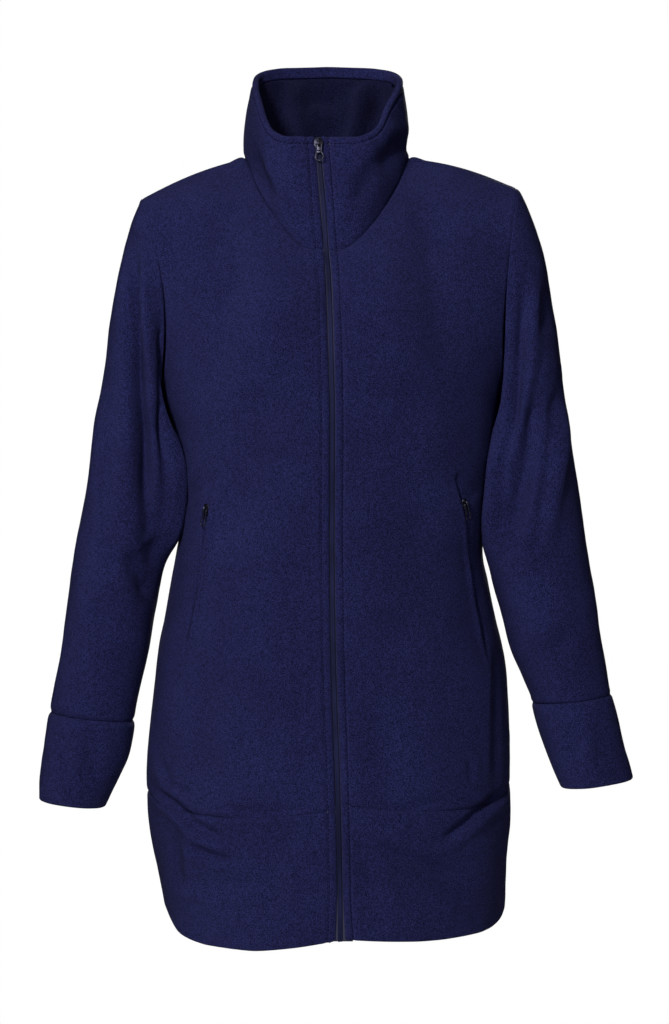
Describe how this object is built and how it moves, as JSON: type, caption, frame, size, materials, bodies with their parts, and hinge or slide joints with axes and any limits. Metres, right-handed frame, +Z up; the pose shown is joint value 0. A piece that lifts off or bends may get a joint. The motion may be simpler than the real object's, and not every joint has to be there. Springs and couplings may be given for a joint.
{
  "type": "fleece zip jacket",
  "caption": "Hollow long fleece jacket with a funnel collar, a full-length front zip, slanted zip pockets, cuffs and a deep hem band.",
  "frame": {"origin": "between the shoulders at the height of the neck points, where the wearer holds the jacket up", "axes": "+X towards the wearer's left, -Y towards the front, +Z up"},
  "size_m": [0.6398, 0.2689, 0.943],
  "materials": {
    "fleece": "short fleece pile, dark navy",
    "zip_tape": "woven tape, navy",
    "zip_coil": "smooth grey-blue coil",
    "zip_metal": "gunmetal, satin"
  },
  "bodies": {
    "jacket": {"front_right": "fleece", "front_left": "fleece", "back": "fleece", "hem_band_front_right": "fleece", "hem_band_front_left": "fleece", "hem_band_back": "fleece", "collar_outer": "fleece", "collar_inner": "fleece", "sleeve_right": "fleece", "sleeve_left": "fleece", "cuff_right": "fleece", "cuff_left": "fleece", "zip_tape_right": "zip_tape", "zip_tape_left": "zip_tape", "zip_chain": "zip_coil", "pocket_zip_right": "zip_coil", "pocket_zip_left": "zip_coil", "zip_slider": "zip_metal", "pocket_slider_right": "zip_metal", "pocket_slider_left": "zip_metal"},
    "main_pull": {"zip_pull": "zip_metal"},
    "pocket_pull_right": {"pocket_pull_right": "zip_metal"},
    "pocket_pull_left": {"pocket_pull_left": "zip_metal"}
  },
  "joints": [
    {"name": "main_pull_swing", "type": "hinge", "parent": "jacket", "child": "main_pull", "pos_m": [-0.00866, -0.08535, 0.00883], "axis": [-0.9979, -0.0149, -0.0631], "range_deg": [0, 150]},
    {"name": "pocket_pull_right_swing", "type": "hinge", "parent": "jacket", "child": "pocket_pull_right", "pos_m": [-0.12816, -0.086, -0.37417], "axis": [-0.6779, 0.6946, 0.2406], "range_deg": [0, 150]},
    {"name": "pocket_pull_left_swing", "type": "hinge", "parent": "jacket", "child": "pocket_pull_left", "pos_m": [0.14661, -0.08392, -0.36863], "axis": [-0.6406, -0.6593, -0.3937], "range_deg": [0, 150]}
  ]
}
